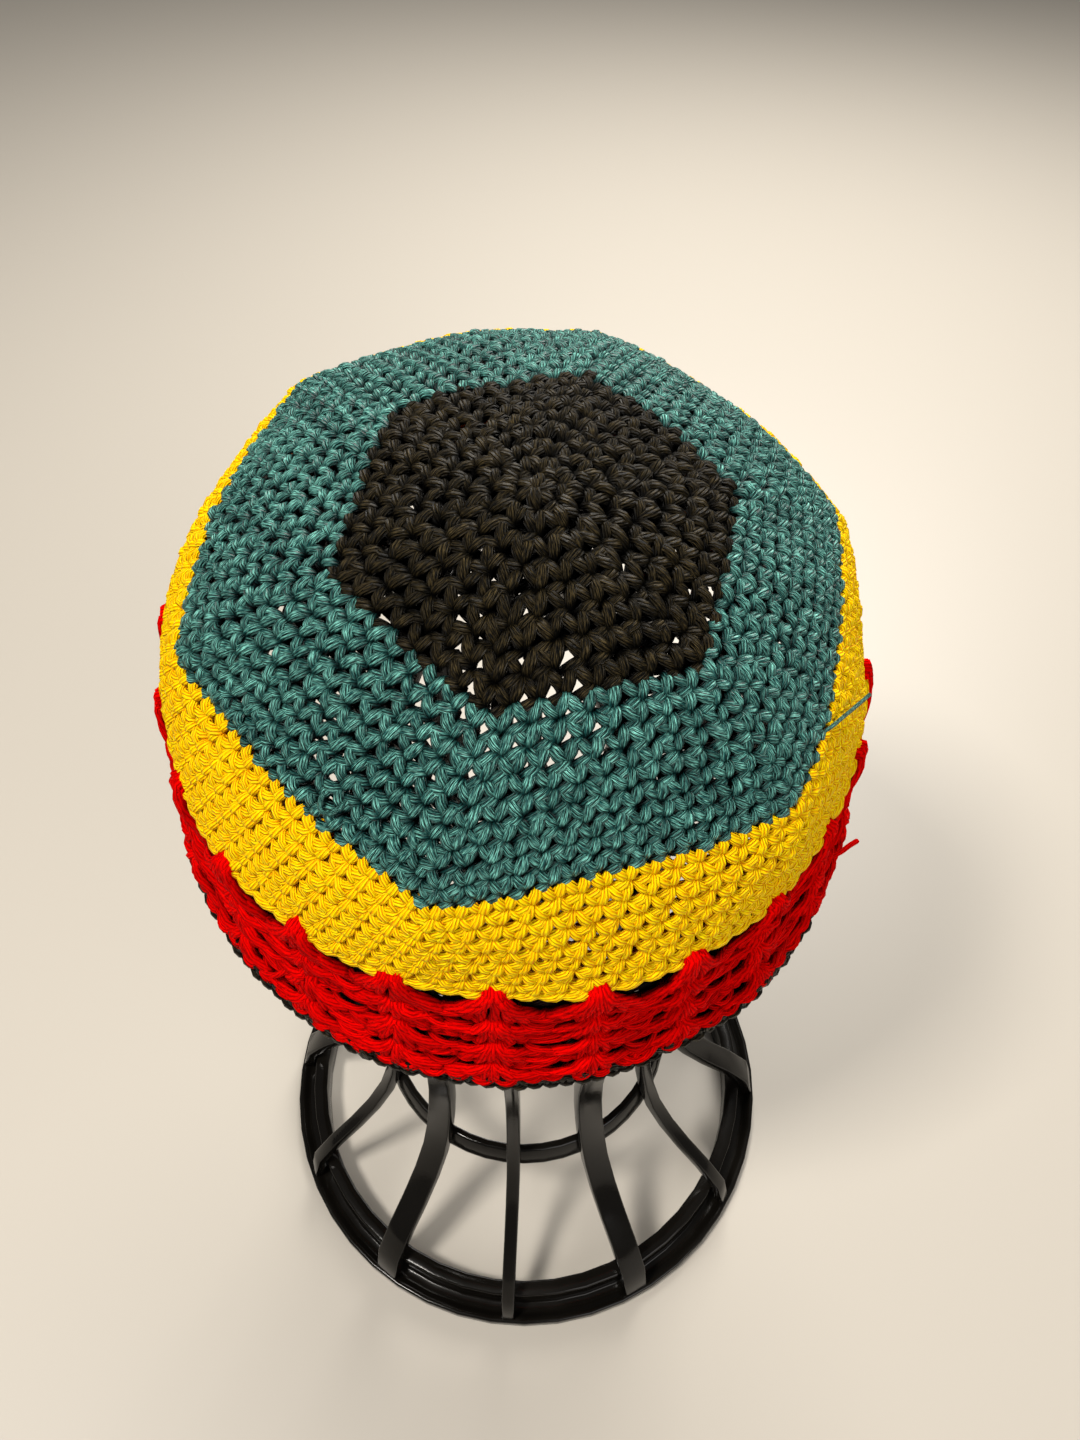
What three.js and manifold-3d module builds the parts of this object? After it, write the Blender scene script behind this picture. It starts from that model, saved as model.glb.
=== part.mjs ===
// A crocheted tam resting on an openwork hat stand. Millimetres, +Z up, the front towards -Y.
// The tam is worked in rounds: a black hexagon, a teal round, a yellow band, a red lace band
// and a black hem. The stand is a foot ring, twelve ribs, a collar ring and a top hub.

import * as THREE from 'three';
import { mergeVertices } from 'three/addons/utils/BufferGeometryUtils.js';
import Module from 'manifold-3d';

// Clearance between pieces that touch
const seatGap = 0.3;

// Tam, measured on the outside of the fabric
const blackApothem = 37.3;
const blackDrop = 10.9;
const tealApothem = 69.4;
const tealDrop = 30.7;
const yellowRadius = 83.6;
const yellowDrop = 61.1;
const laceRadius = 88;
const laceDrop = 88.9;
const hemRadius = 95.6;
const hemDrop = 116.7;
const hemHeight = 3.6;
const fabricWall = 3.2;
const laceWall = 2.6;
const hexagonTurn = 46.4;
const tamFrontTilt = 14.9;
const tamSideTilt = 3.4;
const tamOffsetX = 4.7;
const tamOffsetY = -3.3;

// Fans of the lace, their points over the yellow edge, and the gaps between the strands
const fanCount = 24;
const fanTurn = 11.4;
const fanRise = 2.6;
const slitLength = 11.5;
const slitHeight = 2.6;
const meshLength = 4.4;
const meshHeight = 2.2;

// Stand
const standHeight = 292;
const footRadius = 90;
const footWidth = 12;
const footHeight = 12;
const flangeHeight = 4.5;
const flangeWidth = 7;
const grooveDepth = 1.5;
const collarRadius = 50;
const collarHeight = 54;
const collarBand = 7;
const collarWall = 2.6;
const collarSlope = 0.3;
const neckRadius = 46;
const neckHeight = 92;
const headSlack = 20;
const hubRadius = 17;
const hubHeight = 6;
const hubCrownRadius = 30;
const ribCount = 12;
const ribDepth = 4;
const thinRibWidth = 4.4;
const thickRibWidth = 8.6;
const firstRibAngle = -93.7;

// Rows of the tam from the crown's centre to the hem: reach and depth below the centre,
// how much of a hexagon's corner the row keeps (0 is round, 1 is a sharp hexagon),
// how far a corner droops for each millimetre that it stands out,
// and the row's sideways shift as shares of its reach
const tamRows = [
  { name: 'centre', reach: 0, drop: 0, corner: 0, droop: 0, shift: [0, 0] },
  { name: 'black edge', reach: blackApothem, drop: blackDrop, corner: 0.91, droop: 0.4,
    shift: [0.043, -0.016] },
  { name: 'teal edge', reach: tealApothem, drop: tealDrop, corner: 0.42, droop: 0.4, shift: [-0.009, 0.012] },
  { name: 'yellow edge', reach: yellowRadius, drop: yellowDrop, corner: 0, droop: 0, shift: [-0.008, 0.008] },
  { name: 'lace', reach: laceRadius, drop: laceDrop, corner: 0, droop: 0, shift: [0.002, 0.006] },
  { name: 'hem', reach: hemRadius, drop: hemDrop, corner: 0, droop: 0, shift: [0.012, 0.004] },
];
const rowNumber = (name) => tamRows.findIndex((row) => row.name === name);
const blackEdge = rowNumber('black edge');
const tealEdge = rowNumber('teal edge');
const yellowEdge = rowNumber('yellow edge');
const hemEdge = rowNumber('hem');

// Rows of a rib below the neck: shares of the way out from the neck to the foot, and of the neck's height
const legRows = [
  { out: 1, up: 0.08 },
  { out: 0.93, up: 0.17 },
  { out: 0.78, up: 0.25 },
  { out: 0.55, up: 0.34 },
  { out: 0.34, up: 0.44 },
];

// Rows of a rib above the neck: shares of the head's height, of its radius and of its lean
const headRows = [
  { up: 0.14, reach: 0.82, lean: 0.1 },
  { up: 0.32, reach: 0.94, lean: 0.35 },
  { up: 0.52, reach: 1, lean: 0.7 },
  { up: 0.71, reach: 0.97, lean: 0.95 },
  { up: 0.86, reach: 0.8, lean: 1 },
];

const degrees = Math.PI / 180;
const sides = 6;
const crownCentre = 0.05;
const crownSteps = 5;
const plainSegments = 48;
const scallopedSegments = 72;

const blackYarn = { color: 0x1e1812, roughness: 0.85, metalness: 0 };
const tealYarn = { color: 0x2b6262, roughness: 0.8, metalness: 0 };
const yellowYarn = { color: 0xf5cf08, roughness: 0.8, metalness: 0 };
const redYarn = { color: 0xcc0606, roughness: 0.8, metalness: 0 };
const blackPlastic = { color: 0x1c1a17, roughness: 0.4, metalness: 0 };

const wasm = await Module();
wasm.setup();

// Closed skin through rings of points. The last ring joins the first, or both ends are fanned shut.
function skin(rings, looped) {
  const count = rings[0].length;
  const points = rings.flat();
  const index = [];
  const joins = looped ? rings.length : rings.length - 1;
  for (let row = 0; row < joins; row += 1) {
    const here = row * count;
    const next = ((row + 1) % rings.length) * count;
    for (let i = 0; i < count; i += 1) {
      const j = (i + 1) % count;
      index.push(here + i, next + j, here + j, here + i, next + i, next + j);
    }
  }
  if (!looped) {
    const startCentre = points.length;
    points.push(middle(rings[0]), middle(rings.at(-1)));
    const lastRing = (rings.length - 1) * count;
    for (let i = 0; i < count; i += 1) {
      const j = (i + 1) % count;
      index.push(startCentre, i, j, startCentre + 1, lastRing + j, lastRing + i);
    }
  }
  const geometry = new THREE.BufferGeometry().setFromPoints(points);
  geometry.setIndex(index);
  return geometry;
}

function middle(ring) {
  const sum = ring.reduce((total, point) => total.add(point), new THREE.Vector3());
  return sum.divideScalar(ring.length);
}

function mesh(name, geometry, finish) {
  const part = new THREE.Mesh(geometry, new THREE.MeshStandardMaterial(finish));
  part.name = name;
  return part;
}

// How far a regular hexagon's outline stands beyond its apothem at an angle
function hexagonFactor(angle) {
  const turned = angle - hexagonTurn * degrees + Math.PI / sides;
  const sector = (2 * Math.PI) / sides;
  const within = ((turned % sector) + sector) % sector;
  return 1 / Math.cos(within - Math.PI / sides);
}

function rowPoint(row, angle) {
  const reach = row.reach * hexagonFactor(angle) ** row.corner;
  const depth = row.drop + row.droop * (reach - row.reach);
  return new THREE.Vector3(
    row.reach * row.shift[0] + reach * Math.cos(angle),
    row.reach * row.shift[1] + reach * Math.sin(angle),
    -depth,
  );
}

// Smooth line down the outside of the tam, which starts level at the crown's centre
function meridian(angle) {
  const points = tamRows.map((row) => rowPoint(row, angle));
  const opposite = points[1].clone().multiply(new THREE.Vector3(-1, -1, 1));
  return new THREE.CatmullRomCurve3([opposite, ...points], false, 'catmullrom', 0.5);
}

// Point on the outside of the tam: along counts the rows from the crown's centre
function outside(angle, along) {
  return meridian(angle).getPoint((along + 1) / tamRows.length);
}

function inwards(angle, along) {
  const step = 0.01;
  const below = outside(angle, Math.min(along + step, hemEdge));
  const down = below.sub(outside(angle, Math.max(along - step, 0)));
  const round = outside(angle + step, along).sub(outside(angle - step, along));
  return round.cross(down).normalize();
}

function fabricPoint(angle, along, depth) {
  return outside(angle, along).addScaledVector(inwards(angle, along), depth);
}

function rowSpan(along) {
  const from = tamRows[Math.floor(along)];
  const to = tamRows[Math.floor(along) + 1];
  return Math.hypot(to.reach - from.reach, to.drop - from.drop);
}

// Rings round the wall of a band: down the outside, then up the inside
function bandRings(top, bottom, steps, wall, segments) {
  const levels = Array.from({ length: steps + 1 }, (_, i) => i / steps);
  const start = hexagonTurn * degrees;
  const turns = Array.from({ length: segments }, (_, i) => start + (2 * Math.PI * i) / segments);
  const ring = (level, depth) => turns.map((angle) => {
    const along = THREE.MathUtils.lerp(top(angle), bottom(angle), level);
    return fabricPoint(angle, along, depth);
  });
  return [
    ...levels.map((level) => ring(level, 0)),
    ...levels.toReversed().map((level) => ring(level, wall)),
  ];
}

// Edge between two bands, moved by half the seat gap towards one of them
function edgeAt(along, side) {
  const share = (side * seatGap) / 2 / rowSpan(along - 0.5);
  return () => along + share;
}

// Points of the fans stand over the yellow edge, one at the middle of each fan
function fanEdge(side) {
  const flat = edgeAt(yellowEdge, side);
  const rise = fanRise / rowSpan(yellowEdge - 0.5);
  return (angle) => {
    const wave = Math.cos(fanCount * (angle - fanTurn * degrees)) / 2 + 0.5;
    return flat() - rise * wave * wave;
  };
}

function hemTop(side) {
  const share = hemHeight / rowSpan(hemEdge - 0.5);
  return () => edgeAt(hemEdge, side)() - share;
}

function crownRings() {
  return bandRings(() => crownCentre, edgeAt(blackEdge, -1), crownSteps, fabricWall, plainSegments);
}

function band(top, bottom, steps, wall, segments) {
  return skin(bandRings(top, bottom, steps, wall, segments), true);
}

function tealBand() {
  return band(edgeAt(blackEdge, 1), edgeAt(tealEdge, -1), 3, fabricWall, plainSegments);
}

function yellowBand() {
  return band(edgeAt(tealEdge, 1), fanEdge(-1), 2, fabricWall, scallopedSegments);
}

function solid(geometry) {
  const merged = mergeVertices(geometry);
  return new wasm.Manifold(new wasm.Mesh({
    numProp: 3,
    vertProperties: merged.attributes.position.array,
    triVerts: new Uint32Array(merged.index.array),
  }));
}

function fromSolid(result) {
  const { vertProperties, triVerts } = result.getMesh();
  const geometry = new THREE.BufferGeometry();
  geometry.setAttribute('position', new THREE.BufferAttribute(vertProperties, 3));
  geometry.setIndex(new THREE.BufferAttribute(triVerts, 1));
  return geometry;
}

// Lens cut through the lace wall, with its long way round the band
function laceCutter(angle, along, length, height) {
  const reachOut = laceWall;
  const out = inwards(angle, along).negate();
  const round = new THREE.Vector3(-Math.sin(angle), Math.cos(angle), 0);
  const down = new THREE.Vector3().crossVectors(round, out);
  const centre = outside(angle, along);
  const outline = lens.map(([across, upDown]) => centre.clone()
    .addScaledVector(round, (across * length) / 2)
    .addScaledVector(down, (upDown * height) / 2));
  const front = outline.map((point) => point.clone().addScaledVector(out, reachOut));
  const back = outline.map((point) => point.clone().addScaledVector(out, -laceWall - reachOut));
  return solid(skin([back, front], false));
}

const lens = [[-1, 0], [-0.1, -1], [1, 0], [0.1, 1]];

// Rows of gaps in the lace: place between the yellow edge and the hem, and turn in fans
const gapRows = [
  { along: 0.09, turn: 0.5, length: slitLength, height: slitHeight },
  { along: 0.38, turn: 0.25, length: meshLength, height: meshHeight },
  { along: 0.68, turn: 0.75, length: meshLength, height: meshHeight },
];

function laceBand() {
  const whole = solid(band(fanEdge(1), hemTop(-1), 3, laceWall, scallopedSegments));
  const cutters = gapRows.flatMap((row) => Array.from({ length: fanCount }, (_, fan) => {
    const angle = fanTurn * degrees + (2 * Math.PI * (fan + row.turn)) / fanCount;
    const along = THREE.MathUtils.lerp(yellowEdge, hemEdge, row.along);
    return laceCutter(angle, along, row.length, row.height);
  }));
  return fromSolid(whole.subtract(wasm.Manifold.union(cutters)));
}

function makeTam() {
  const tam = new THREE.Group();
  tam.add(mesh('crown_black', skin(crownRings(), false), blackYarn));
  tam.add(mesh('crown_teal', tealBand(), tealYarn));
  tam.add(mesh('band_yellow', yellowBand(), yellowYarn));
  tam.add(mesh('band_red_lace', laceBand(), redYarn));
  tam.add(mesh('hem_black', band(hemTop(1), () => hemEdge, 1, laceWall, plainSegments), blackYarn));
  tam.rotation.set(tamFrontTilt * degrees, tamSideTilt * degrees, 0);
  return tam;
}

// How far the hub's domed top falls away at a distance from its middle
function hubFall(reach) {
  return hubCrownRadius - Math.sqrt(hubCrownRadius ** 2 - reach ** 2);
}

// Where the tilted crown rests on the hub: above the hub's middle, at the height of its apex
function crownRest(tam) {
  const rings = crownRings();
  const inner = rings.slice(rings.length / 2).flat().map((point) => point.applyEuler(tam.rotation));
  const top = inner.reduce((best, point) => (point.z > best.z ? point : best));
  const heights = inner.flatMap((point) => {
    const reach = Math.hypot(point.x - top.x, point.y - top.y);
    return reach < hubRadius ? [point.z + hubFall(reach)] : [];
  });
  return new THREE.Vector3(top.x, top.y, Math.min(...heights));
}

const tam = makeTam();
const rest = crownRest(tam);
tam.position.set(tamOffsetX, tamOffsetY, standHeight + seatGap - rest.z);
const hubCentre = new THREE.Vector3(tamOffsetX + rest.x, tamOffsetY + rest.y, standHeight);
const headRadius = yellowRadius - fabricWall - headSlack;

function lathe(name, profile, segments) {
  const points = profile.map(([reach, height]) => new THREE.Vector2(reach, height));
  const geometry = new THREE.LatheGeometry(points, segments);
  geometry.rotateX(Math.PI / 2);
  return mesh(name, geometry, blackPlastic);
}

// Foot ring: a low outer flange with a groove, and a raised band inside it
function footRing() {
  const inner = footRadius - footWidth;
  const bandOuter = footRadius - flangeWidth;
  const lip = flangeWidth / 4;
  return lathe('stand_foot_ring', [
    [inner, 0],
    [footRadius, 0],
    [footRadius, flangeHeight],
    [footRadius - lip, flangeHeight],
    [footRadius - 2 * lip, flangeHeight - grooveDepth],
    [bandOuter, flangeHeight - grooveDepth],
    [bandOuter, footHeight],
    [inner, footHeight],
    [inner, 0],
  ], plainSegments);
}

// Middle line of a rib, from its foot on the flange to the hub
function ribLine(angle) {
  const ribFoot = footRadius - flangeWidth / 8 - ribDepth / 2;
  const place = (reach, height, lean) => new THREE.Vector3(
    hubCentre.x * lean + reach * Math.cos(angle),
    hubCentre.y * lean + reach * Math.sin(angle),
    height,
  );
  const hubMiddle = standHeight - hubFall(hubRadius) - hubHeight / 2;
  const headHeight = hubMiddle - neckHeight;
  const legs = legRows.map((row) => place(
    THREE.MathUtils.lerp(neckRadius, ribFoot, row.out),
    row.up * neckHeight,
    0,
  ));
  const head = headRows.map((row) => place(
    row.reach * headRadius,
    neckHeight + row.up * headHeight,
    row.lean,
  ));
  return new THREE.CatmullRomCurve3([
    place(ribFoot, flangeHeight + seatGap, 0),
    ...legs,
    place(collarRadius + seatGap + ribDepth / 2, collarHeight, 0),
    place(neckRadius, neckHeight, 0),
    ...head,
    place(hubRadius + ribDepth, hubMiddle, 1),
    place(hubRadius + seatGap, hubMiddle, 1),
  ], false, 'centripetal');
}

function ribBar(angle, width) {
  const steps = 27;
  const line = ribLine(angle);
  const side = new THREE.Vector3(-Math.sin(angle), Math.cos(angle), 0);
  const rings = Array.from({ length: steps + 1 }, (_, i) => {
    const centre = line.getPointAt(i / steps);
    const along = line.getTangentAt(i / steps);
    const out = new THREE.Vector3().crossVectors(side, along).normalize();
    return [[-1, -1], [1, -1], [1, 1], [-1, 1]].map(([across, outwards]) => centre.clone()
      .addScaledVector(side, (across * width) / 2)
      .addScaledVector(out, (outwards * ribDepth) / 2));
  });
  return skin(rings, false);
}

// Collar ring inside the ribs, leaning with them
function collarRing() {
  const low = collarHeight - collarBand / 2;
  const high = collarHeight + collarBand / 2;
  const inset = (collarSlope * collarBand) / 2;
  return lathe('stand_collar_ring', [
    [collarRadius + inset - collarWall, low],
    [collarRadius + inset, low],
    [collarRadius - inset, high],
    [collarRadius - inset - collarWall, high],
    [collarRadius + inset - collarWall, low],
  ], plainSegments);
}

// Top hub: a disc with a domed top that carries the crown
function topHub() {
  const rings = 4;
  const dome = Array.from({ length: rings + 1 }, (_, i) => {
    const reach = hubRadius * (1 - i / rings);
    return [reach, -hubFall(reach)];
  });
  const low = -hubFall(hubRadius) - hubHeight;
  const hub = lathe('stand_top_hub', [[0, low], [hubRadius, low], ...dome], plainSegments / 2);
  hub.position.copy(hubCentre);
  return hub;
}

function makeStand() {
  const stand = new THREE.Group();
  stand.add(footRing(), collarRing(), topHub());
  for (let i = 0; i < ribCount; i += 1) {
    const angle = (firstRibAngle + (360 * i) / ribCount) * degrees;
    const width = i % 2 === 0 ? thinRibWidth : thickRibWidth;
    const number = String(i + 1).padStart(2, '0');
    stand.add(mesh(`stand_rib_${number}`, ribBar(angle, width), blackPlastic));
  }
  return stand;
}

// The origin is at the middle of the whole part's box, on the floor
const part = new THREE.Group();
part.add(makeStand(), tam);
part.updateMatrixWorld(true);
const box = new THREE.Box3().setFromObject(part, true);
const centre = box.getCenter(new THREE.Vector3());
part.position.set(-centre.x, -centre.y, -box.min.z);

export default part;
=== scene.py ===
import math
import bpy
import numpy as np
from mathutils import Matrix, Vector


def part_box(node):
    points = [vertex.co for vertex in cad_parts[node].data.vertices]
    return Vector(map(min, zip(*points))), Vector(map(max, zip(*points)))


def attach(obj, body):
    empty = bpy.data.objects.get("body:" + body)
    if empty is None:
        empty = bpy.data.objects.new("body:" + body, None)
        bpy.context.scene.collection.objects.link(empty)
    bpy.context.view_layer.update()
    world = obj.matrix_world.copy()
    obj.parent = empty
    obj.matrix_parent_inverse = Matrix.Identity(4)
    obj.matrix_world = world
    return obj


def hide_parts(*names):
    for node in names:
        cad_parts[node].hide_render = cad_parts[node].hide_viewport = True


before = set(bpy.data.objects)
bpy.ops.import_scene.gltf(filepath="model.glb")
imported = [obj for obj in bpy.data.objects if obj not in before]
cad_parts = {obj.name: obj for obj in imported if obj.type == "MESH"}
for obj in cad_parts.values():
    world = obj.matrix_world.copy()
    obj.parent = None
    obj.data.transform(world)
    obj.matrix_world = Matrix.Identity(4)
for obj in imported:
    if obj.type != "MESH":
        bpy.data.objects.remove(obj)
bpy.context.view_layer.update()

print("frame loaded:", len(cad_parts), "nodes")
rng = np.random.default_rng(17)
footLow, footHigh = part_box("stand_foot_ring")
standAxis = (np.array(footLow) + np.array(footHigh)) / 2 * (1, 1, 0)

# camera above and in front, looking down at the crown; its place is in metres from the stand's axis
view = {"fromAxis": (0.0054, -0.1656, 0.4194), "pitch": 50, "lens": 26.5, "sensor": 36, "near": 0.01}
bpy.ops.object.select_all(action="DESELECT")
bpy.ops.object.camera_add(
    location=standAxis + np.array(view["fromAxis"]),
    rotation=(math.radians(90 - view["pitch"]), 0, 0),
)
camera = bpy.context.object
camera.data.lens = view["lens"]
camera.data.sensor_width = view["sensor"]
camera.data.clip_start = view["near"]
bpy.context.scene.camera = camera
bpy.context.scene.view_settings.view_transform = "Standard"

# the tam's shape in millimetres, by rows: centre, black edge, teal edge, yellow edge, lace and hem
tam = {
    "frontTilt": 14.9,  # degrees, the crown leans to the front
    "sideTilt": 3.4,  # degrees, and to the right
    "offset": (4.7, -3.3),  # crown's centre from the stand's axis
    "hexagonTurn": 46.4,  # degrees, the middle of one side of the hexagon
    "reach": (0, 37.3, 68.4, 83.6, 88, 95.6),
    "drop": (0, 10.9, 30.7, 61.1, 88.9, 116.7),
    "corner": (0, 0.91, 0.6, 0, 0, 0),  # how much of a hexagon's corner a row keeps
    "droop": (0, 0.4, 0.4, 0, 0, 0),  # how far a corner hangs for each millimetre that it stands out
    "shiftX": (0, 0.043, -0.009, -0.008, 0.002, 0.012),  # shares of the reach
    "shiftY": (0, -0.016, 0.012, 0.008, 0.006, 0.004),
    "midWall": 1.6,  # how far inside the rows' outside
    "puckers": 0.35,
    "rowWave": 0.008,  # rows
}


def turnMatrix():
    a, b = math.radians(tam["frontTilt"]), math.radians(tam["sideTilt"])
    aboutX = np.array([[1, 0, 0], [0, math.cos(a), -math.sin(a)], [0, math.sin(a), math.cos(a)]])
    aboutY = np.array([[math.cos(b), 0, math.sin(b)], [0, 1, 0], [-math.sin(b), 0, math.cos(b)]])
    return aboutX @ aboutY


# smooth curve from b to c, with a and d as the points before and after
def curveThrough(a, b, c, d, t):
    bend = 2 * a - 5 * b + 4 * c - d
    return 0.5 * (2 * b + (c - a) * t + bend * t**2 + (3 * b - a - 3 * c + d) * t**3)


# a smooth line of so many points through the given ones
def smoothLine(points, count):
    points = np.array(points, float)
    line = np.vstack([2 * points[0] - points[1], points, 2 * points[-1] - points[-2]])
    where = np.linspace(0, len(points) - 1, count)
    step = np.minimum(where.astype(int), len(points) - 2)
    a, b, c, d = (line[step + k] for k in range(4))
    return curveThrough(a, b, c, d, (where - step)[:, None])


def rowPoint(row, angle):
    within = np.mod(angle - math.radians(tam["hexagonTurn"]) + math.pi / 6, math.pi / 3)
    flat = tam["reach"][row]
    reach = flat * (1 / np.cos(within - math.pi / 6)) ** tam["corner"][row]
    x = flat * tam["shiftX"][row] + reach * np.cos(angle)
    y = flat * tam["shiftY"][row] + reach * np.sin(angle)
    return np.stack([x, y, -(tam["drop"][row] + tam["droop"][row] * (reach - flat))], -1)


# along counts the rows: 0 centre, 1 black edge, 2 teal edge, 3 yellow edge, 4 lace, 5 hem
def outsideOf(angle, along):
    rows = [rowPoint(row, angle) for row in range(6)]
    line = np.stack([rows[1] * (-1, -1, 1)] + rows + [2 * rows[5] - rows[4]])
    step = np.clip(np.floor(along).astype(int), 0, 4)
    each = np.arange(len(angle))
    a, b, c, d = (line[step + k, each] for k in range(4))
    return curveThrough(a, b, c, d, (along - step)[:, None])


turned = turnMatrix()


# points on the tam and the outward direction there, from angle, along and millimetres proud of the mid-wall
def onTam(angle, along, proud):
    shape = np.broadcast(angle, along, proud).shape
    angle, along, proud = (np.broadcast_to(v, shape).ravel().astype(float) for v in (angle, along, proud))
    near = 0.01
    away = np.maximum(along, 2 * near)
    down = outsideOf(angle, away + near) - outsideOf(angle, away - near)
    around = outsideOf(angle + near, away) - outsideOf(angle - near, away)
    out = np.cross(down, around)
    out /= np.linalg.norm(out, axis=1, keepdims=True)
    fade = np.minimum(along, 1)
    wave = np.sin(5 * angle + 2.3 * along) + 0.7 * np.sin(11 * angle - 3.1 * along + 1)
    shift = tam["rowWave"] * (np.sin(4 * angle + 5 * along) + 0.6 * np.sin(9 * angle + 2 * along))
    puffed = proud - tam["midWall"] + tam["puckers"] * wave * fade
    point = outsideOf(angle, along + shift * fade) + out * puffed[:, None]
    return (point @ turned.T).reshape(shape + (3,)), (out @ turned.T).reshape(shape + (3,))


# the crown is sampled all over, so that its top meets the top of the solid crown
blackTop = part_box("crown_black")[1][2]
sampleAngles = np.linspace(0, 2 * math.pi, 73)
sampleRows = np.linspace(0, 1, 21)
crownSample = onTam(np.tile(sampleAngles, 21), np.repeat(sampleRows, 73), tam["midWall"])[0]
tamPlace = np.array([
    standAxis[0] + tam["offset"][0] / 1000,
    standAxis[1] + tam["offset"][1] / 1000,
    blackTop - crownSample[:, 2].max() / 1000,
])

# each strand's plies start a step after those of the last one, in millimetres, and repeat after the span
plyStart = {"step": 3.7, "span": 50}


# yarn along many lines at once: lines (n, p, 3) in metres, radius and proud in millimetres
def yarnStrands(lines, outward, radius, sides, tone, proud, flat=1.0):
    n, p = lines.shape[:2]
    radius = np.broadcast_to(radius, (n, p)) / 1000
    ahead = np.gradient(lines, axis=1)
    ahead /= np.linalg.norm(ahead, axis=2, keepdims=True) + 1e-12
    across = np.cross(ahead[:, 0], outward[:, 0])
    frames = []
    for k in range(p):
        across = across - ahead[:, k] * (across * ahead[:, k]).sum(1, keepdims=True)
        across /= np.linalg.norm(across, axis=1, keepdims=True) + 1e-12
        frames.append(across)
    across = np.stack(frames, 1)
    up = np.cross(ahead, across)
    turn = np.arange(sides) / sides * 2 * math.pi
    ring = across[:, :, None] * np.cos(turn)[:, None] / flat + up[:, :, None] * np.sin(turn)[:, None] * flat
    verts = lines[:, :, None] + ring * radius[:, :, None, None]
    length = np.cumsum(np.linalg.norm(np.diff(lines, axis=1, prepend=lines[:, :1]), axis=2), 1) * 1000
    length += (np.arange(n) * plyStart["step"])[:, None] % plyStart["span"]
    base = (np.arange(n) * p * sides)[:, None, None] + (np.arange(p - 1) * sides)[:, None]
    j = np.arange(sides)
    after = (j + 1) % sides
    quads = np.stack([base + j, base + after, base + sides + after, base + sides + j], -1).reshape(-1, 4)
    u0 = np.broadcast_to(length[:, :-1, None], (n, p - 1, sides))
    u1 = np.broadcast_to(length[:, 1:, None], (n, p - 1, sides))
    v0 = np.broadcast_to(j / sides, (n, p - 1, sides))
    v1 = v0 + 1 / sides
    quadUv = np.stack([u0, v0, u0, v1, u1, v1, u1, v0], -1).reshape(-1, 2)
    first = (np.arange(n) * p * sides)[:, None]
    caps = np.concatenate([first + j[::-1], first + (p - 1) * sides + j])
    capU = np.concatenate([length[:, 0], length[:, -1]])
    capV = np.concatenate([np.tile(j[::-1] / sides, n), np.tile(j / sides, n)])
    capUv = np.stack([np.repeat(capU, sides), capV], -1)
    tones = np.repeat(np.broadcast_to(tone, n), p * sides)
    # the outward part of each ring point adds to its rise, so painted shade darkens a strand's sides and its
    # glints keep to the outer face
    lift = (ring * outward[:, :, None]).sum(-1) * radius[:, :, None] * 1000
    rises = (np.broadcast_to(proud, (n, p))[:, :, None] + lift).ravel()
    return {"verts": verts.reshape(-1, 3), "quads": quads, "caps": caps, "quadUv": quadUv,
            "capUv": capUv, "tones": tones, "rises": rises}


# all strands of one piece as one mesh, with length and turn as its UV map and two attributes:
# tones, a number of 0 to 1 for each strand, and rises, the millimetres proud, for painted shade and glints
def yarnPiece(name, batches, material):
    verts = np.concatenate([b["verts"] for b in batches])
    starts = np.cumsum([0] + [len(b["verts"]) for b in batches])
    faces, uvs = [], []
    for b, start in zip(batches, starts):
        faces += (b["quads"] + start).tolist() + (b["caps"] + start).tolist()
        uvs += [b["quadUv"], b["capUv"]]
    mesh = bpy.data.meshes.new(name)
    mesh.from_pydata(verts.tolist(), [], faces)
    uvMap = mesh.uv_layers.new(name="strand")
    uvMap.data.foreach_set("uv", np.concatenate(uvs).ravel())
    for label in ("tones", "rises"):
        layer = mesh.attributes.new(label, "FLOAT", "POINT")
        layer.data.foreach_set("value", np.concatenate([b[label] for b in batches]))
    mesh.polygons.foreach_set("use_smooth", np.ones(len(faces), bool))
    mesh.materials.append(material)
    mesh.update()
    piece = bpy.data.objects.new(name, mesh)
    bpy.context.collection.objects.link(piece)
    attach(piece, "root")
    triangles = sum(len(f) - 2 for f in faces)
    print(name, "made,", triangles, "triangles")
    return piece


# share of a round, 0 to 1 from a corner, as an angle that keeps the stitches even on a hexagon's sides
def roundAngle(share, along):
    corner = math.radians(tam["hexagonTurn"] + 30)
    # the centre keeps as much of the corners as the black edge
    kept = np.interp(along, (0, 1, 2, 3), tam["corner"][1:2] + tam["corner"][1:4])
    side = np.floor(share * 6)
    within = share * 6 - side
    bent = (side + 0.5) * math.pi / 3 + np.arctan(math.tan(math.pi / 6) * (2 * within - 1))
    even = share * 2 * math.pi
    return corner + even + (bent - even) * kept


# how much stitches differ, the share of its thickness at a strand's ends and what the middle adds
loose = {"size": 0.05, "proud": 0.16, "waver": 0.05, "radius": 0.05, "ends": 0.6, "belly": 0.45}


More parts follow.
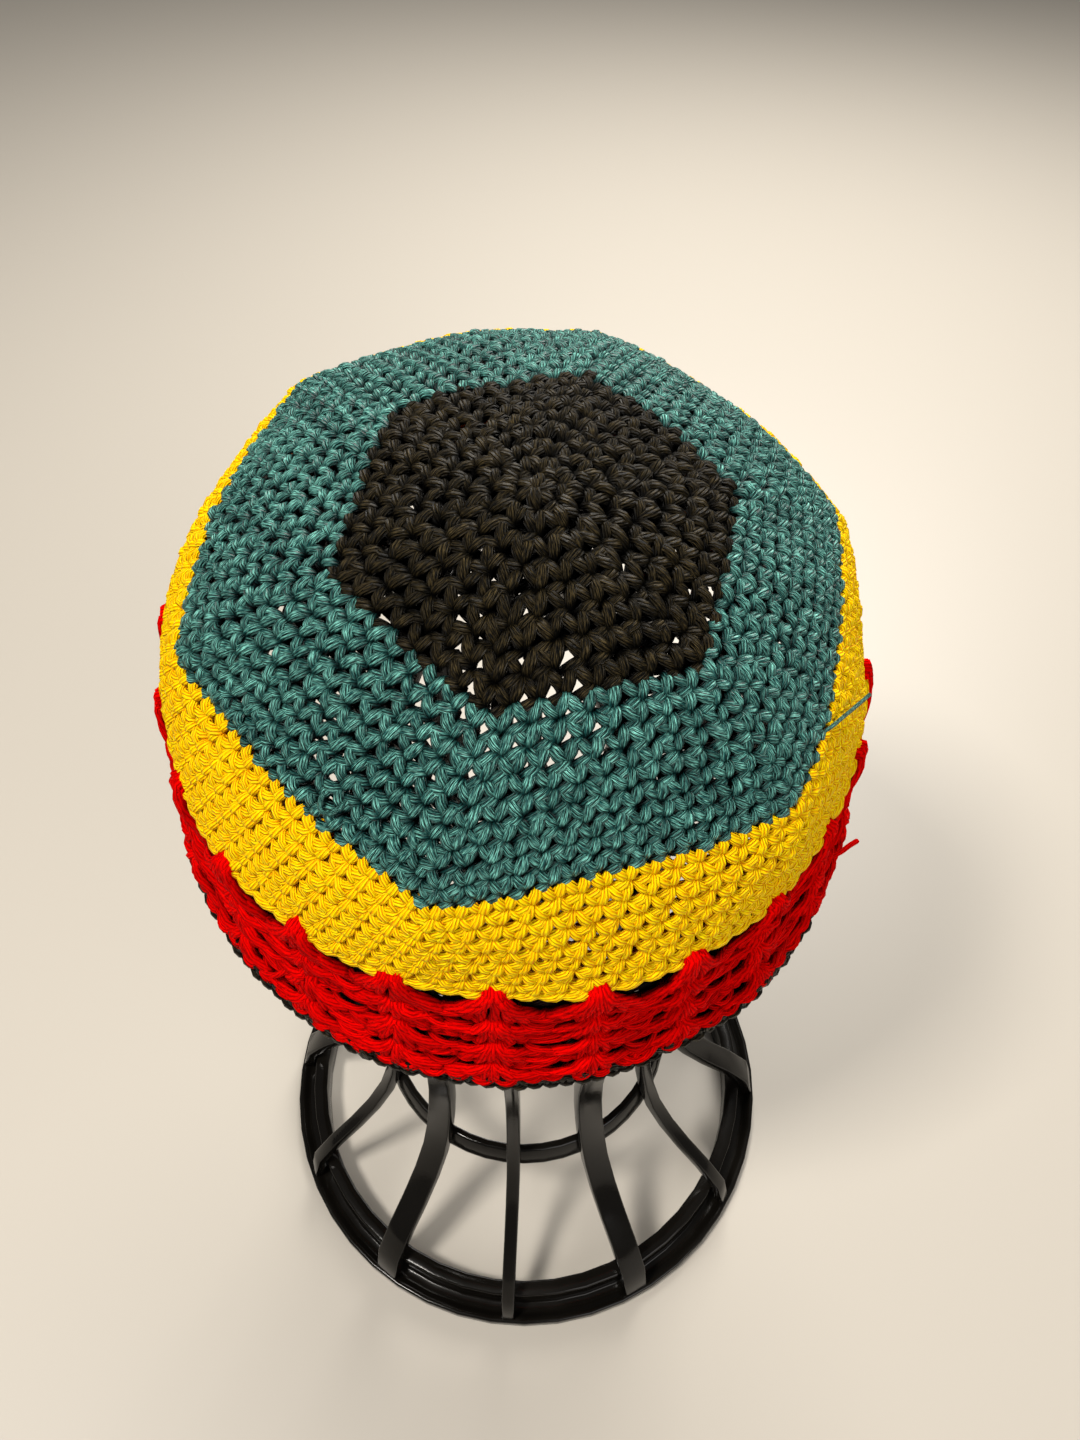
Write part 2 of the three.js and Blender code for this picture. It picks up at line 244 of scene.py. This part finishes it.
# one strand of each stitch of a round, from a template of (pitches, rounds, millimetres proud)
def stitchStrands(count, startAlong, rowAlong, slip, template, points, radius, sides, jitter,
                  flat=1.0, kept=None):
    shape = smoothLine(template, points)
    each = np.arange(count) + slip
    s = each[:, None] + shape[:, 0] + rng.normal(0, jitter, (count, 1))
    size = 1 + rng.normal(0, loose["size"], (count, 1))
    t = startAlong + rowAlong * (shape[:, 1] * size + rng.normal(0, jitter, (count, 1)))
    proud = shape[:, 2] + rng.normal(0, loose["proud"], (count, 1))
    proud = proud + rng.normal(0, loose["waver"], (count, points))
    angle = roundAngle(np.mod(s / count, 1), t)
    line, outward = onTam(angle, t, proud)
    fullness = loose["ends"] + loose["belly"] * np.sin(math.pi * np.linspace(0.05, 0.85, points))
    thick = radius * (1 + rng.normal(0, loose["radius"], (count, 1))) * fullness
    tone = rng.uniform(0, 1, count)
    if kept:
        stay = kept(angle.mean(1), t.mean(1))
        line, outward, thick, tone, proud = (v[stay] for v in (line, outward, thick, tone, proud))
    return yarnStrands(line / 1000 + tamPlace, outward, thick, sides, tone, proud, flat)


# the ridge of each ply and the fine fibres along it
fibres = {"ridgePower": 1.4, "alongScale": 0.35, "acrossScale": 2.2, "noiseScale": 2, "noiseDetail": 3}


# plies of a yarn, from its length in millimetres and its turn
def yarnGroup():
    group = bpy.data.node_groups.new("yarnPlies", "ShaderNodeTree")
    face = group.interface
    face.new_socket("Strand", in_out="INPUT", socket_type="NodeSocketVector")
    for label, value in (("Plies", 9), ("Twist", 0.08), ("Fuzz", 0.5)):
        face.new_socket(label, in_out="INPUT", socket_type="NodeSocketFloat").default_value = value
    for label in ("Height", "Ridge", "Streak"):
        face.new_socket(label, in_out="OUTPUT", socket_type="NodeSocketFloat")
    nodes, links = group.nodes, group.links
    inside = nodes.new("NodeGroupInput")
    end = nodes.new("NodeGroupOutput")
    split = nodes.new("ShaderNodeSeparateXYZ")
    links.new(inside.outputs["Strand"], split.inputs[0])

    def reckon(operation, *values):
        node = nodes.new("ShaderNodeMath")
        node.operation = operation
        for socket, value in zip(node.inputs, values):
            if isinstance(value, bpy.types.NodeSocket):
                links.new(value, socket)
            else:
                socket.default_value = value
        return node.outputs[0]

    turnPart = reckon("MULTIPLY_ADD", split.outputs["X"], inside.outputs["Twist"], split.outputs["Y"])
    phase = reckon("MULTIPLY", turnPart, inside.outputs["Plies"])
    centred = reckon("MULTIPLY_ADD", reckon("FRACT", phase), 2, -1)
    square = reckon("MULTIPLY", centred, centred)
    ridge = reckon("POWER", reckon("SUBTRACT", 1, square), fibres["ridgePower"])
    stretch = nodes.new("ShaderNodeCombineXYZ")
    links.new(reckon("MULTIPLY", split.outputs["X"], fibres["alongScale"]), stretch.inputs[0])
    links.new(reckon("MULTIPLY", phase, fibres["acrossScale"]), stretch.inputs[1])
    fibre = nodes.new("ShaderNodeTexNoise")
    fibre.inputs["Scale"].default_value = fibres["noiseScale"]
    fibre.inputs["Detail"].default_value = fibres["noiseDetail"]
    links.new(stretch.outputs[0], fibre.inputs["Vector"])
    streak = reckon("SUBTRACT", fibre.outputs["Fac"], 0.5)
    links.new(reckon("MULTIPLY_ADD", streak, inside.outputs["Fuzz"], ridge), end.inputs["Height"])
    links.new(ridge, end.inputs["Ridge"])
    links.new(fibre.outputs["Fac"], end.inputs["Streak"])
    return group


yarnPlies = yarnGroup()


def shade(name):
    material = bpy.data.materials.new(name)
    material.use_nodes = True
    nodes, links = material.node_tree.nodes, material.node_tree.links
    return material, nodes, links, nodes["Principled BSDF"]


# a colour of 0 to 255 as a shader takes it
def linear(colour):
    return tuple((c / 255 / 12.92 if c <= 10 else ((c / 255 + 0.055) / 1.055) ** 2.4) for c in colour) + (1,)


def blended(nodes, links, factor, first, second):
    mix = nodes.new("ShaderNodeMix")
    mix.data_type = "RGBA"
    for socket, value in ((mix.inputs[0], factor), (mix.inputs[6], first), (mix.inputs[7], second)):
        if isinstance(value, bpy.types.NodeSocket):
            links.new(value, socket)
        else:
            socket.default_value = value
    return mix.outputs[2]


def ranged(nodes, links, value, fromMin, fromMax, toMin, toMax, steps="LINEAR"):
    node = nodes.new("ShaderNodeMapRange")
    node.interpolation_type = steps
    for label, number in zip(("From Min", "From Max", "To Min", "To Max"), (fromMin, fromMax, toMin, toMax)):
        node.inputs[label].default_value = number
    links.new(value, node.inputs["Value"])
    return node.outputs[0]


# depth in millimetres
def bumped(nodes, links, shader, height, strength, depth):
    bump = nodes.new("ShaderNodeBump")
    bump.inputs["Strength"].default_value = strength
    bump.inputs["Distance"].default_value = depth / 1000
    links.new(height, bump.inputs["Height"])
    links.new(bump.outputs[0], shader.inputs["Normal"])


# painted shade darkens a strand where it lies low between the stitches; over the plies, painted shade
# in the grooves meets the yarn's own mid colour on the tops, and painted glints of light lie in streaks on
# the peaks
def yarnMaterial(name, looks):
    material, nodes, links, shader = shade(name)
    strand = nodes.new("ShaderNodeUVMap")
    strand.uv_map = "strand"
    plies = nodes.new("ShaderNodeGroup")
    plies.node_tree = yarnPlies
    for label in ("Plies", "Twist", "Fuzz"):
        plies.inputs[label].default_value = looks[label.lower()]
    links.new(strand.outputs[0], plies.inputs["Strand"])
    tones = nodes.new("ShaderNodeAttribute")
    tones.attribute_name = "tones"
    rises = nodes.new("ShaderNodeAttribute")
    rises.attribute_name = "rises"
    rise = rises.outputs["Fac"]
    # painted shade: the lower a strand lies between the stitches, the darker it gets, down to the recess
    # colour
    height = ranged(nodes, links, rise, looks["low"], looks["high"], 0, 1, "SMOOTHSTEP")
    # painted shade in the grooves between the plies: the dark colour in a groove, mid on a ply's ridge
    groove = blended(nodes, links, plies.outputs["Ridge"], linear(looks["plyShadeAndTone"]), linear(looks["mid"]))
    # painted glints: streaks of the light colour on the highest parts of the strands
    streak = ranged(nodes, links, plies.outputs["Streak"], *looks["streak"], 0, looks["glint"])
    peak = ranged(nodes, links, rise, looks["peakLow"], looks["peakHigh"], 0, 1, "SMOOTHSTEP")
    glint = nodes.new("ShaderNodeMath")
    glint.operation = "MULTIPLY"
    links.new(streak, glint.inputs[0])
    links.new(peak, glint.inputs[1])
    lit = blended(nodes, links, glint.outputs[0], groove, linear(looks["light"]))
    # each strand's own tone, at random, part way to the same dark colour
    tone = ranged(nodes, links, tones.outputs["Fac"], 0, 1, looks["toneSpread"], 0)
    toned = blended(nodes, links, tone, lit, linear(looks["plyShadeAndTone"]))
    final = blended(nodes, links, height, linear(looks["recessShade"]), toned)
    links.new(final, shader.inputs["Base Color"])
    bumped(nodes, links, shader, plies.outputs["Height"], looks["bump"], looks["plyHeight"])
    shader.inputs["Roughness"].default_value = looks["roughness"]
    shader.inputs["Specular IOR Level"].default_value = looks["specular"]
    return material


# what the yarns share; low, high and the peaks are millimetres proud: painted shade between the stitches
# is full at low and gone at high, and painted glints grow from peakLow to peakHigh
spun = {
    "plies": 9,
    "twist": 0.05,
    "fuzz": 0.9,
    "bump": 1,
    "plyHeight": 0.6,
    "glint": 1,
    "streak": (0.46, 0.66),
}
# the yarns' colours in order: painted shade, painted ply shade with darker strand tone, own colour, painted
# glints
blackYarn = yarnMaterial("blackYarn", dict(
    spun, recessShade=(0, 0, 0), plyShadeAndTone=(1, 1, 0), mid=(9, 7, 3), light=(90, 77, 48), toneSpread=0.5,
    low=0, high=2.2, peakLow=1.1, peakHigh=2.9, roughness=0.45, specular=0.12))
tealYarn = yarnMaterial("tealYarn", dict(
    spun, recessShade=(0, 3, 5), plyShadeAndTone=(0, 20, 22), mid=(18, 78, 77), light=(158, 250, 232), toneSpread=0.35,
    low=0.3, high=2.5, peakLow=1.2, peakHigh=2.9, roughness=0.38, specular=0.25))
yellowYarn = yarnMaterial("yellowYarn", dict(
    spun, recessShade=(200, 92, 0), plyShadeAndTone=(240, 134, 0), mid=(255, 216, 0), light=(255, 246, 0), toneSpread=0.15,
    low=-0.5, high=2.2, peakLow=0.2, peakHigh=2.2, glint=0.9, fuzz=0.6, bump=0.8, plyHeight=0.45,
    roughness=0.6, specular=0.06))
redYarn = yarnMaterial("redYarn", dict(
    spun, recessShade=(40, 0, 0), plyShadeAndTone=(140, 0, 0), mid=(236, 0, 0), light=(255, 8, 2), toneSpread=0.35,
    low=-0.8, high=2, peakLow=0, peakHigh=2, glint=0.8, plies=6, twist=0.03, fuzz=1.2, bump=0.6,
    plyHeight=0.4, roughness=0.9, specular=0.02))
print("yarn materials made")

# one stitch: two legs from the hole above, a slanting bar over their ends and a flat bar at the back,
# each through points of (pitches, rounds, millimetres proud)
leftLeg = ((0.04, -0.14, -0.3), (-0.05, 0.06, 1.4), (-0.2, 0.4, 1.8), (-0.34, 0.7, 1.0), (-0.38, 1.0, -0.9))
rightLeg = ((0.1, -0.14, -0.3), (0.2, 0.06, 1.4), (0.36, 0.38, 1.75), (0.52, 0.64, 1.0), (0.58, 0.94, -0.9))
slant = ((-0.22, 0.14, -0.9), (0.0, 0.08, 0.8), (0.28, 0, 1.6), (0.54, -0.08, 1.0), (0.72, -0.16, -0.9))
backBar = ((-0.55, 0.6, -0.9), (-0.2, 0.52, -1.15), (0.2, 0.52, -1.15), (0.55, 0.6, -0.9))

# where the front of the crown is stretched open, in degrees and rows, and the share of back bars
# that is left out elsewhere
opened = {"middle": -98, "halfWidth": 28, "fromRow": 0.8, "toRow": 1.3, "leftOut": 0.05}


# true for stitches that keep the bar at their back
def closedStitches(angle, along):
    turn = angle - math.radians(opened["middle"])
    front = np.abs(np.mod(turn + math.pi, 2 * math.pi) - math.pi) < math.radians(opened["halfWidth"])
    stretched = front & (along > opened["fromRow"]) & (along < opened["toRow"])
    return ~stretched & (rng.uniform(0, 1, len(angle)) > opened["leftOut"])


# rounds from one edge of a colour to the next; the bars of a round stand at its lower edge
def rounds(counts, start, width, stitch):
    batches = []
    each = width / len(counts)
    legs = (stitch["legPoints"], stitch["legRadius"], 6, stitch["jitter"], stitch["flat"])
    bar = (6, stitch["slantRadius"], 6, stitch["jitter"], stitch["flat"])
    back = (4, stitch["backRadius"], 5, stitch["jitter"], stitch["backFlat"], closedStitches)
    for k, count in enumerate(counts):
        at = start + k * each
        slip = 0.5 + stitch["slip"] * k
        batches.append(stitchStrands(count, at, each, slip, leftLeg, *legs))
        batches.append(stitchStrands(count, at, each, slip, rightLeg, *legs))
        batches.append(stitchStrands(count, at + each, each, slip, slant, *bar))
        batches.append(stitchStrands(count, at, each, slip, backBar, *back))
    return batches


# six more stitches in each round would lie flat, and the crown is worked a little tighter
stitchShare = 0.94


def stitchesOf(firstRound, lastRound):
    return [max(6, round(6 * k * stitchShare)) for k in range(firstRound, lastRound + 1)]


crownStitch = {
    "legPoints": 7,
    "legRadius": 1.1,
    "slantRadius": 1.12,
    "backRadius": 0.95,
    "jitter": 0.05,  # pitches and rounds
    "slip": 0.72,  # pitches from one round to the next
    "flat": 0.86,
    "backFlat": 0.66,
}
crownBlack = yarnPiece("crochet_black", rounds(stitchesOf(1, 8), 0, 1, crownStitch), blackYarn)
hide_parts("crown_black")

crownTeal = yarnPiece("crochet_teal", rounds(stitchesOf(9, 17), 1, 1, crownStitch), tealYarn)
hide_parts("crown_teal")

yellow = {"stitches": stitchesOf(17, 17)[0], "rounds": 8, "edgeRadius": 1.3, "edgeJitter": 0.02}
edgeChain = ((-0.75, 1.0, 0.7), (-0.25, 1.15, 1.5), (0.25, 1.15, 1.5), (0.75, 1.0, 0.7))
yellowRounds = [yellow["stitches"]] * yellow["rounds"]
roundWidth = 1 / yellow["rounds"]
yellowBatches = rounds(yellowRounds, 2, 1, dict(crownStitch, legPoints=6))
yellowBatches.append(stitchStrands(
    yellow["stitches"], 3 - roundWidth, roundWidth, 0, edgeChain, 6, yellow["edgeRadius"], 6,
    yellow["edgeJitter"]))
bandYellow = yarnPiece("crochet_yellow", yellowBatches, yellowYarn)
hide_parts("band_yellow")

# the lace: 24 columns of shells in four rows, each shell a fan of posts with a chain along its foot,
# in millimetres
lace = {
    "columns": 24,
    "fanTurn": 11.9,  # degrees
    "heights": (18, 13.5, 12.3, 9.6),
    "posts": 7,
    "footWidth": 22.5,
    "headWidth": 2.6,
    "headDip": 1.8,  # how much lower the outer posts start
    "footRise": 3.4,  # how much the ends of a shell's foot rise
    "radius": 1.15,
    "twistReach": 0.7,
    "twistLength": 26,
    "rowsPerMm": 1 / 28.5,
    "reach": 92,  # turns millimetres across into an angle
}
# a row's posts start above its top by headAbove, and the outer posts of neighbouring shells meet
# at the valley below it; strands cross from shell to shell below crossFrom
topRow = {"headAbove": 3, "headProud": 3, "valley": 14.5, "crossFrom": 14.5}
lowerRow = {"headAbove": 1.8, "headProud": 1.9, "valley": 6, "crossFrom": 3}
columns = np.arange(lace["columns"])


# a number for each column, spread about the middle
def spread(amount, middle=0):
    return rng.normal(middle, amount, (lace["columns"], 1))


def evenly(low, high):
    return rng.uniform(low, high, (lace["columns"], 1))


# the same strand in each column, x across from the shell's middle and t down from the lace's top
def laceStrands(x, t, proud, radius):
    middle = math.radians(lace["fanTurn"]) + columns[:, None] * 2 * math.pi / lace["columns"]
    angle = middle + x / lace["reach"]
    line, outward = onTam(angle, 3 + t * lace["rowsPerMm"], proud)
    tone = rng.uniform(0, 1, lace["columns"])
    return yarnStrands(line / 1000 + tamPlace, outward, radius, 5, tone, proud)


# posts of two plies each; the outer ones leave the head steeply and spread lower down
def laceRow(top, height, shell):
    batches = []
    k = np.linspace(0, 1, 12)
    rise = height - shell["valley"]
    for post in range(lace["posts"]):
        share = post / (lace["posts"] - 1) * 2 - 1
        lean = abs(share)
        headX = share * lace["headWidth"] / 2
        footX = share * lace["footWidth"] / 2
        headT = top - shell["headAbove"] + lace["headDip"] * lean**2
        footT = top + height - rise * lean**2
        x = headX + (footX - headX) * k ** (0.75 + 0.5 * lean**2)
        t = headT + (footT - headT) * k ** (1.15 - 0.25 * lean**2)
        proud = np.interp(k, (0, 0.08, 0.45, 1), (-0.6, shell["headProud"], 2.2, 0.5))
        for half in (0, math.pi):
            wind = 2 * math.pi * k * height / lace["twistLength"] + half + evenly(0, 6)
            wobble = spread(0.3) * k
            xs = x + lace["twistReach"] * np.cos(wind) * (0.5 + 0.5 * k) + wobble
            ts = t + spread(0.25) + 0.5 * lean * np.cos(wind)
            ps = proud + 0.7 * lace["twistReach"] * np.sin(wind)
            batches.append(laceStrands(xs, ts, ps, lace["radius"]))
    return batches


# halfLength counts in links, the rest in millimetres
chain = {"halfLength": 0.62, "legApart": 0.75, "legPinch": 0.9, "proud": 0.7, "endDip": 2.2, "radius": 0.85}


# a chain along the foot of each shell, with one link for each post
def chainRow(foot):
    batches = []
    pitch = 2 * math.pi * lace["reach"] / lace["columns"] / lace["posts"]
    for link in range(lace["posts"]):
        centre = (link + 0.5 - lace["posts"] / 2) * pitch
        for leg in (-1, 1):
            k = np.linspace(-chain["halfLength"], chain["halfLength"], 6)
            x = centre + k * pitch + spread(0.2)
            share = x / (lace["footWidth"] / 2)
            apart = leg * (chain["legApart"] - chain["legPinch"] * k**2)
            t = foot - lace["footRise"] * np.minimum(share**2, 1.2) + apart
            proud = chain["proud"] - chain["endDip"] * k**2 + spread(0.15)
            batches.append(laceStrands(x, t, proud, chain["radius"]))
    return batches


crossing = {
    "pairs": 2,
    "middle": 12,  # half way to the next shell
    "length": 15.5,
    "margin": 1.6,
    "pairGap": 0.8,
    "proud": 0.9,
    "endDip": 1.9,
    "radius": 0.85,
}


# slack strands that cross from one shell to the next and fill the valley between them
def crossingStrands(top, height, crossFrom):
    batches = []
    for level in np.linspace(crossFrom + crossing["margin"], height - crossing["margin"], crossing["pairs"]):
        reach = crossing["length"] * (0.4 + 0.6 * level / height) / 2
        for side in (-1, 1):
            k = np.linspace(-1, 1, 9)
            x = crossing["middle"] + k * reach * evenly(0.7, 1.1) + spread(1.2)
            bow = spread(1.6, 1.2) * k**2 - spread(2) * k
            t = top + level + side * crossing["pairGap"] - bow + spread(0.7)
            proud = crossing["proud"] - crossing["endDip"] * np.abs(k) ** 3 + spread(0.5)
            batches.append(laceStrands(x, t, proud, crossing["radius"]))
    return batches


scallop = {
    "places": (-9, -3, 3, 9),
    "halfLength": 3.4,
    "hang": (0.6, 2.2),
    "secondHigher": 1.3,
    "footRise": 0.4,  # share of a shell's own
    "proud": 1.5,
    "endDip": 1.7,
    "radius": 0.95,
}


# small scallops along the lace's lower edge
def edgeScallops(foot):
    batches = []
    for place in scallop["places"]:
        share = place / (lace["footWidth"] / 2)
        for second in (0, 1):
            k = np.linspace(-1, 1, 7)
            x = place + k * scallop["halfLength"] + spread(0.4)
            hang = evenly(*scallop["hang"]) * (1 - k**2)
            rise = lace["footRise"] * share**2 * scallop["footRise"]
            t = foot - rise - second * scallop["secondHigher"] + hang
            proud = scallop["proud"] - scallop["endDip"] * k**2 + spread(0.2)
            batches.append(laceStrands(x, t, proud, scallop["radius"]))
    return batches


postBatches, chainBatches = [], []
laceTop = 0
for height in lace["heights"]:
    shell = lowerRow if postBatches else topRow
    postBatches += laceRow(laceTop, height, shell)
    chainBatches += chainRow(laceTop + height)
    chainBatches += crossingStrands(laceTop, height, shell["crossFrom"])
    laceTop += height
chainBatches += edgeScallops(laceTop)
lacePosts = yarnPiece("lace_shells", postBatches, redYarn)
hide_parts("band_red_lace")
yarnPiece("lace_chains", chainBatches, redYarn)

# the hem: one round of small black stitches and its edge
hem = {"stitches": 150, "height": 4.6, "radius": 1.3, "barThicker": 1.1, "jitter": 0.04}
# a band of black yarn behind the lace: painted shade, dark where the lace's gaps would show the shaded
# inside of the tam
shadeBand = {"rounds": 12, "stitches": 96, "slip": 0.37, "radius": 1.3, "jitter": 0.03, "flat": 0.55}


def shadeBandBehindLace():
    batches = []
    shadeBandStitch = ((-0.56, 0.5, -0.9), (-0.2, 0.44, -1.2), (0.2, 0.44, -1.2), (0.56, 0.5, -0.9))
    each = laceTop * lace["rowsPerMm"] / shadeBand["rounds"]
    for k in range(shadeBand["rounds"]):
        batches.append(stitchStrands(
            shadeBand["stitches"], 3 + k * each, each, shadeBand["slip"] * k, shadeBandStitch, 4, shadeBand["radius"], 5,
            shadeBand["jitter"], shadeBand["flat"]))
    return batches


def hemRound():
    along = hem["height"] * lace["rowsPerMm"]
    top = 3 + laceTop * lace["rowsPerMm"]
    low = ((-0.4, 1.1, -0.8), (-0.3, 0.5, 0.6), (0, -0.1, 0.7), (0.3, 0.5, 0.6), (0.4, 1.1, -0.8))
    bar = ((-0.6, 0.9, 0), (-0.2, 0.82, 0.7), (0.2, 0.95, 0.7), (0.6, 0.9, 0))
    behind = ((-0.6, 0.3, -0.6), (-0.2, 0.3, -0.6), (0.2, 0.3, -0.6), (0.6, 0.3, -0.6))
    batches = []
    for template, points, sides, radius in (
            (low, 9, 5, hem["radius"]),
            (bar, 5, 6, hem["radius"] * hem["barThicker"]),
            (behind, 4, 5, hem["radius"])):
        batches.append(stitchStrands(
            hem["stitches"], top, along, 0, template, points, radius, sides, hem["jitter"]))
    return batches


# the hem and the band of painted shade behind the lace make one piece of black yarn
hemBlack = yarnPiece("crochet_hem", hemRound() + shadeBandBehindLace(), blackYarn)
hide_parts("hem_black")

# loose ends and a pulled loop: yarn, slot, radius and points of (degrees, along, millimetres proud)
looseEnds = {
    "greenEnd": (tealYarn, "teal_yarn", 0.45, (
        (328, 1.97, 0.5), (331, 2.02, 2.6), (335, 2.12, 3.4), (339, 2.24, 4.2), (343, 2.34, 6.0))),
    "pulledLoop": (tealYarn, "teal_yarn", 0.5, (
        (234.6, 1.8, 0.2), (234.2, 1.84, 2.6), (235.4, 1.9, 3.6), (237.2, 1.88, 3.6), (238, 1.82, 2.6),
        (237.2, 1.77, 0.2))),
    "redEnd": (redYarn, "red_yarn", 0.7, (
        (335, 4.5, 0.2), (336.5, 4.52, 3.0), (338.5, 4.55, 5.0), (340, 4.6, 6.6))),
}
for name, (material, slotName, radius, route) in looseEnds.items():
    degrees, along, proud = smoothLine(route, 14).T
    line, outward = onTam(np.radians(degrees), along, proud)
    strand = yarnStrands((line / 1000 + tamPlace)[None], outward[None], radius, 6, 0.3, proud[None])
    yarnPiece(name, [strand], material)


# satin black plastic of the stand
def plasticMaterial(name, looks):
    material, nodes, links, shader = shade(name)
    place = nodes.new("ShaderNodeTexCoord")
    noises = []
    for scale, detail in (looks["cloud"], looks["grain"]):
        noise = nodes.new("ShaderNodeTexNoise")
        noise.inputs["Scale"].default_value = scale
        noise.inputs["Detail"].default_value = detail
        links.new(place.outputs["Object"], noise.inputs["Vector"])
        noises.append(noise.outputs["Fac"])
    cloud, grain = noises
    colour = blended(nodes, links, cloud, linear(looks["dark"]), linear(looks["dusty"]))
    links.new(colour, shader.inputs["Base Color"])
    rough = ranged(nodes, links, cloud, *looks["cloudRange"], *looks["roughness"])
    links.new(rough, shader.inputs["Roughness"])
    shader.inputs["Specular IOR Level"].default_value = looks["specular"]
    bumped(nodes, links, shader, grain, looks["bump"], looks["grainDepth"])
    return material


blackPlastic = plasticMaterial("blackPlastic", {
    "dark": (5, 4, 3), "dusty": (20, 18, 15), "roughness": (0.08, 0.22), "specular": 0.22,
    "cloud": (35, 4), "cloudRange": (0.3, 0.7), "grain": (900, 2), "bump": 0.08, "grainDepth": 0.2})

# metres and degrees
stand = {"merge": 0.00001, "bevel": 0.0006, "segments": 2, "bevelAngle": 35, "smoothAngle": 40}


# a piece of the stand: its solid with rounded edges
def standPiece(node):
    bpy.ops.object.select_all(action="DESELECT")
    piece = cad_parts[node].copy()
    piece.data = piece.data.copy()
    piece.parent = None
    piece.name = "finished_" + node
    bpy.context.collection.objects.link(piece)
    bpy.context.view_layer.objects.active = piece
    piece.select_set(True)
    bpy.ops.object.mode_set(mode="EDIT")
    bpy.ops.mesh.select_all(action="SELECT")
    bpy.ops.mesh.remove_doubles(threshold=stand["merge"])
    bpy.ops.mesh.tris_convert_to_quads()
    bpy.ops.object.mode_set(mode="OBJECT")
    bevel = piece.modifiers.new("roundedEdges", "BEVEL")
    bevel.width = stand["bevel"]
    bevel.segments = stand["segments"]
    bevel.angle_limit = math.radians(stand["bevelAngle"])
    bpy.ops.object.modifier_apply(modifier=bevel.name)
    bpy.ops.object.shade_smooth_by_angle(angle=math.radians(stand["smoothAngle"]))
    piece.data.materials.clear()
    piece.data.materials.append(blackPlastic)
    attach(piece, "root")
    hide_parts(node)


standNodes = sorted(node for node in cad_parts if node.startswith("stand_"))
for node in standNodes:
    standPiece(node)
print("stand made,", len(standNodes), "pieces")

# pale floor and soft light
room = {
    "floorSize": 8,
    "floor": (180, 174, 164),
    "floorRoughness": 0.45,
    "lampAim": (0, 0, 0.22),
    "skyColour": (0.9, 0.88, 0.85, 1),
    "skyStrength": 0.18,
}
bpy.ops.object.select_all(action="DESELECT")
bpy.ops.mesh.primitive_plane_add(size=room["floorSize"], location=(0, 0, 0))
floor = bpy.context.object
floor.name = "floor"
floorMaterial, _, _, floorShader = shade("paleFloor")
floorShader.inputs["Base Color"].default_value = linear(room["floor"])
floorShader.inputs["Roughness"].default_value = room["floorRoughness"]
floor.data.materials.append(floorMaterial)

lamps = {
    "key": {"at": (-0.55, -0.35, 1.35), "size": 0.25, "power": 18, "colour": (1, 0.95, 0.88)},
    "fill": {"at": (0.6, -0.9, 0.8), "size": 0.9, "power": 8, "colour": (1, 0.97, 0.94)},
    "back": {"at": (0.25, 0.85, 0.9), "size": 0.6, "power": 17, "colour": (1, 0.96, 0.9)},
}
for name, lamp in lamps.items():
    bpy.ops.object.light_add(type="AREA", location=lamp["at"])
    light = bpy.context.object
    light.name = name
    light.data.energy = lamp["power"]
    light.data.size = lamp["size"]
    light.data.color = lamp["colour"]
    aim = Vector(room["lampAim"]) - light.location
    light.rotation_euler = aim.to_track_quat("-Z", "Y").to_euler()
world = bpy.data.worlds.new("studio")
world.use_nodes = True
sky = world.node_tree.nodes["Background"]
sky.inputs["Color"].default_value = room["skyColour"]
sky.inputs["Strength"].default_value = room["skyStrength"]
bpy.context.scene.world = world
print("floor and lights made")
